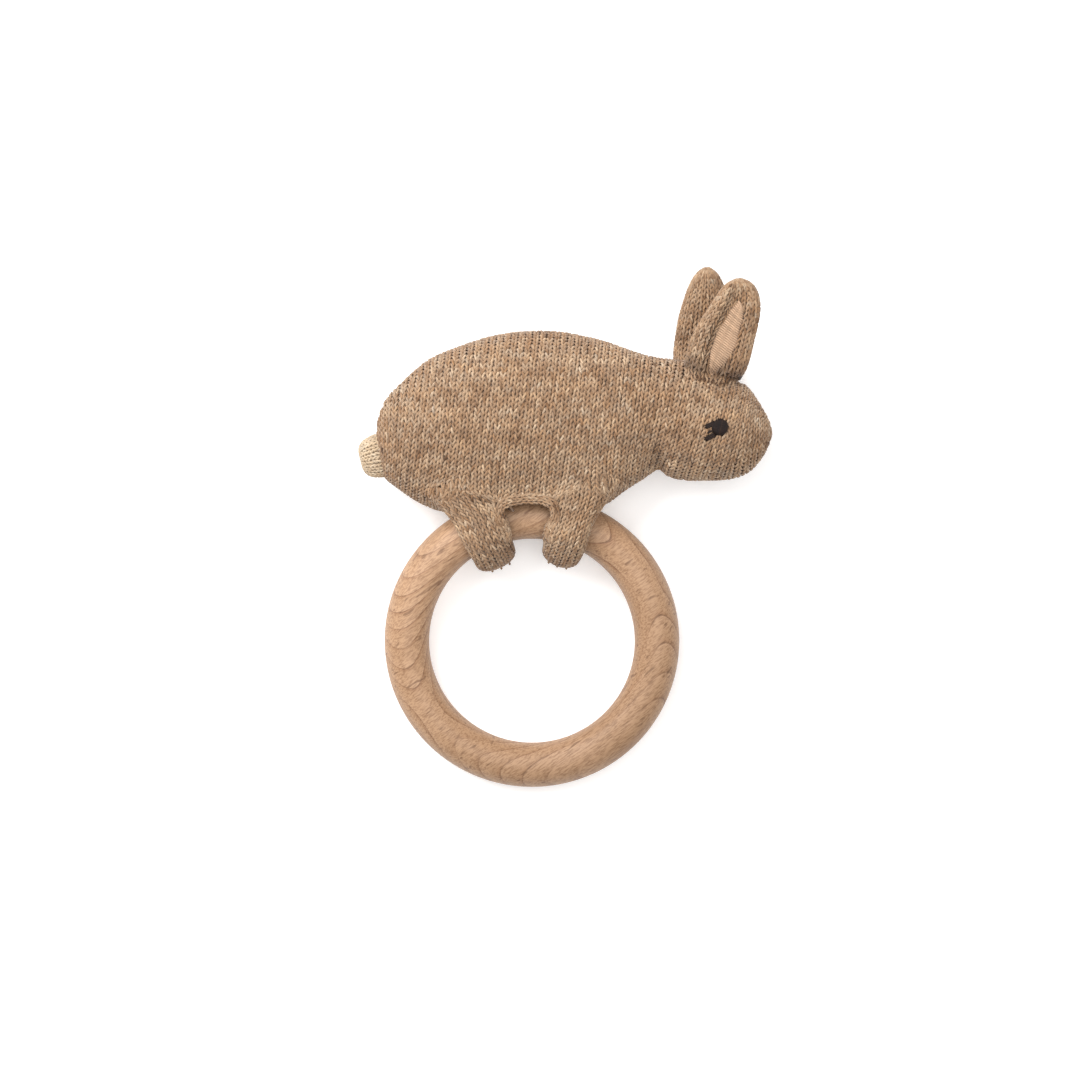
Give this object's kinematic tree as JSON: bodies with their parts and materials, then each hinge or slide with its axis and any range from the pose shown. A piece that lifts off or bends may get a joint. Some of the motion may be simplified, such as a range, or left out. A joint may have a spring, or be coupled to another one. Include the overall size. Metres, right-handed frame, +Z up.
{
  "type": "teething ring",
  "caption": "Round turned wooden ring gripped by the legs of a stuffed knitted rabbit lying on its side, with floppy ears, a stub tail, embroidered eyes and a rattle inside.",
  "frame": {"origin": "middle of the underside of the bounding box, on the surface that the toy lies on", "axes": "+X towards the nose, +Y towards the ears along the toy's longest side, +Z up: the toy lies on its far flank and on the far edge of the ring"},
  "size_m": [0.0982, 0.1242, 0.0282],
  "materials": {
    "melange_knit": "beige-brown melange cotton, stocking stitch",
    "cream_knit": "cream cotton, stocking stitch",
    "eye_thread": "dark brown satin stitch",
    "ear_thread": "light beige satin stitch",
    "seam_thread": "brown sewing yarn",
    "filling": "fibre filling",
    "beech": "smooth oiled beech",
    "rattle_case": "matt white",
    "rattle_beads": "matt grey"
  },
  "bodies": {
    "rabbit": {"near_side_panel": "melange_knit", "far_side_panel": "melange_knit", "outline_seam": "seam_thread", "belly_strip": "melange_knit", "near_hind_leg": "melange_knit", "far_hind_leg": "melange_knit", "near_hind_leg_stuffing": "filling", "far_hind_leg_stuffing": "filling", "hind_foot_stitches": "seam_thread", "near_front_leg": "melange_knit", "far_front_leg": "melange_knit", "near_front_leg_stuffing": "filling", "far_front_leg_stuffing": "filling", "front_foot_stitches": "seam_thread", "rattle_case_lower": "rattle_case", "rattle_case_upper": "rattle_case", "body_stuffing": "filling", "head_stuffing": "filling", "tail_cover": "cream_knit", "tail_stuffing": "filling", "near_eye": "eye_thread", "far_eye": "eye_thread", "near_ear_stitches": "seam_thread", "far_ear_stitches": "seam_thread"},
    "ring": {"wooden_ring": "beech"},
    "near_ear": {"near_ear_front": "melange_knit", "near_ear_back": "melange_knit", "near_inner_ear": "ear_thread"},
    "far_ear": {"far_ear_front": "melange_knit", "far_ear_back": "melange_knit", "far_inner_ear": "ear_thread"},
    "rattle_bead_1": {"rattle_bead_1": "rattle_beads"},
    "rattle_bead_2": {"rattle_bead_2": "rattle_beads"},
    "rattle_bead_3": {"rattle_bead_3": "rattle_beads"},
    "rattle_bead_4": {"rattle_bead_4": "rattle_beads"},
    "rattle_bead_5": {"rattle_bead_5": "rattle_beads"}
  },
  "joints": [
    {"name": "ring_turn", "type": "hinge", "parent": "rabbit", "child": "ring", "pos_m": [-0.00751, -0.02726, 0.00832], "axis": [0, -0.1017, 0.9948], "continuous": true},
    {"name": "near_ear_bend", "type": "hinge", "parent": "rabbit", "child": "near_ear", "pos_m": [0.03668, 0.03422, 0.02408], "axis": [0.9659, -0.2133, -0.147], "range_deg": [-12, 60], "stiffness_Nm_per_rad": 0.0015},
    {"name": "far_ear_bend", "type": "hinge", "parent": "rabbit", "child": "far_ear", "pos_m": [0.03309, 0.03664, 0.00495], "axis": [-0.9953, 0.0674, -0.069], "range_deg": [-12, 60], "stiffness_Nm_per_rad": 0.0015},
    {"name": "bead_slide_1", "type": "slide", "parent": "rabbit", "child": "rattle_bead_1", "axis": [0, -0.1017, 0.9948], "range_m": [0, 0.0138]},
    {"name": "bead_slide_2", "type": "slide", "parent": "rabbit", "child": "rattle_bead_2", "axis": [0, -0.1017, 0.9948], "range_m": [0, 0.01201]},
    {"name": "bead_slide_3", "type": "slide", "parent": "rabbit", "child": "rattle_bead_3", "axis": [0, -0.1017, 0.9948], "range_m": [0, 0.01201]},
    {"name": "bead_slide_4", "type": "slide", "parent": "rabbit", "child": "rattle_bead_4", "axis": [0, -0.1017, 0.9948], "range_m": [0, 0.01201]},
    {"name": "bead_slide_5", "type": "slide", "parent": "rabbit", "child": "rattle_bead_5", "axis": [0, -0.1017, 0.9948], "range_m": [0, 0.01201]}
  ]
}
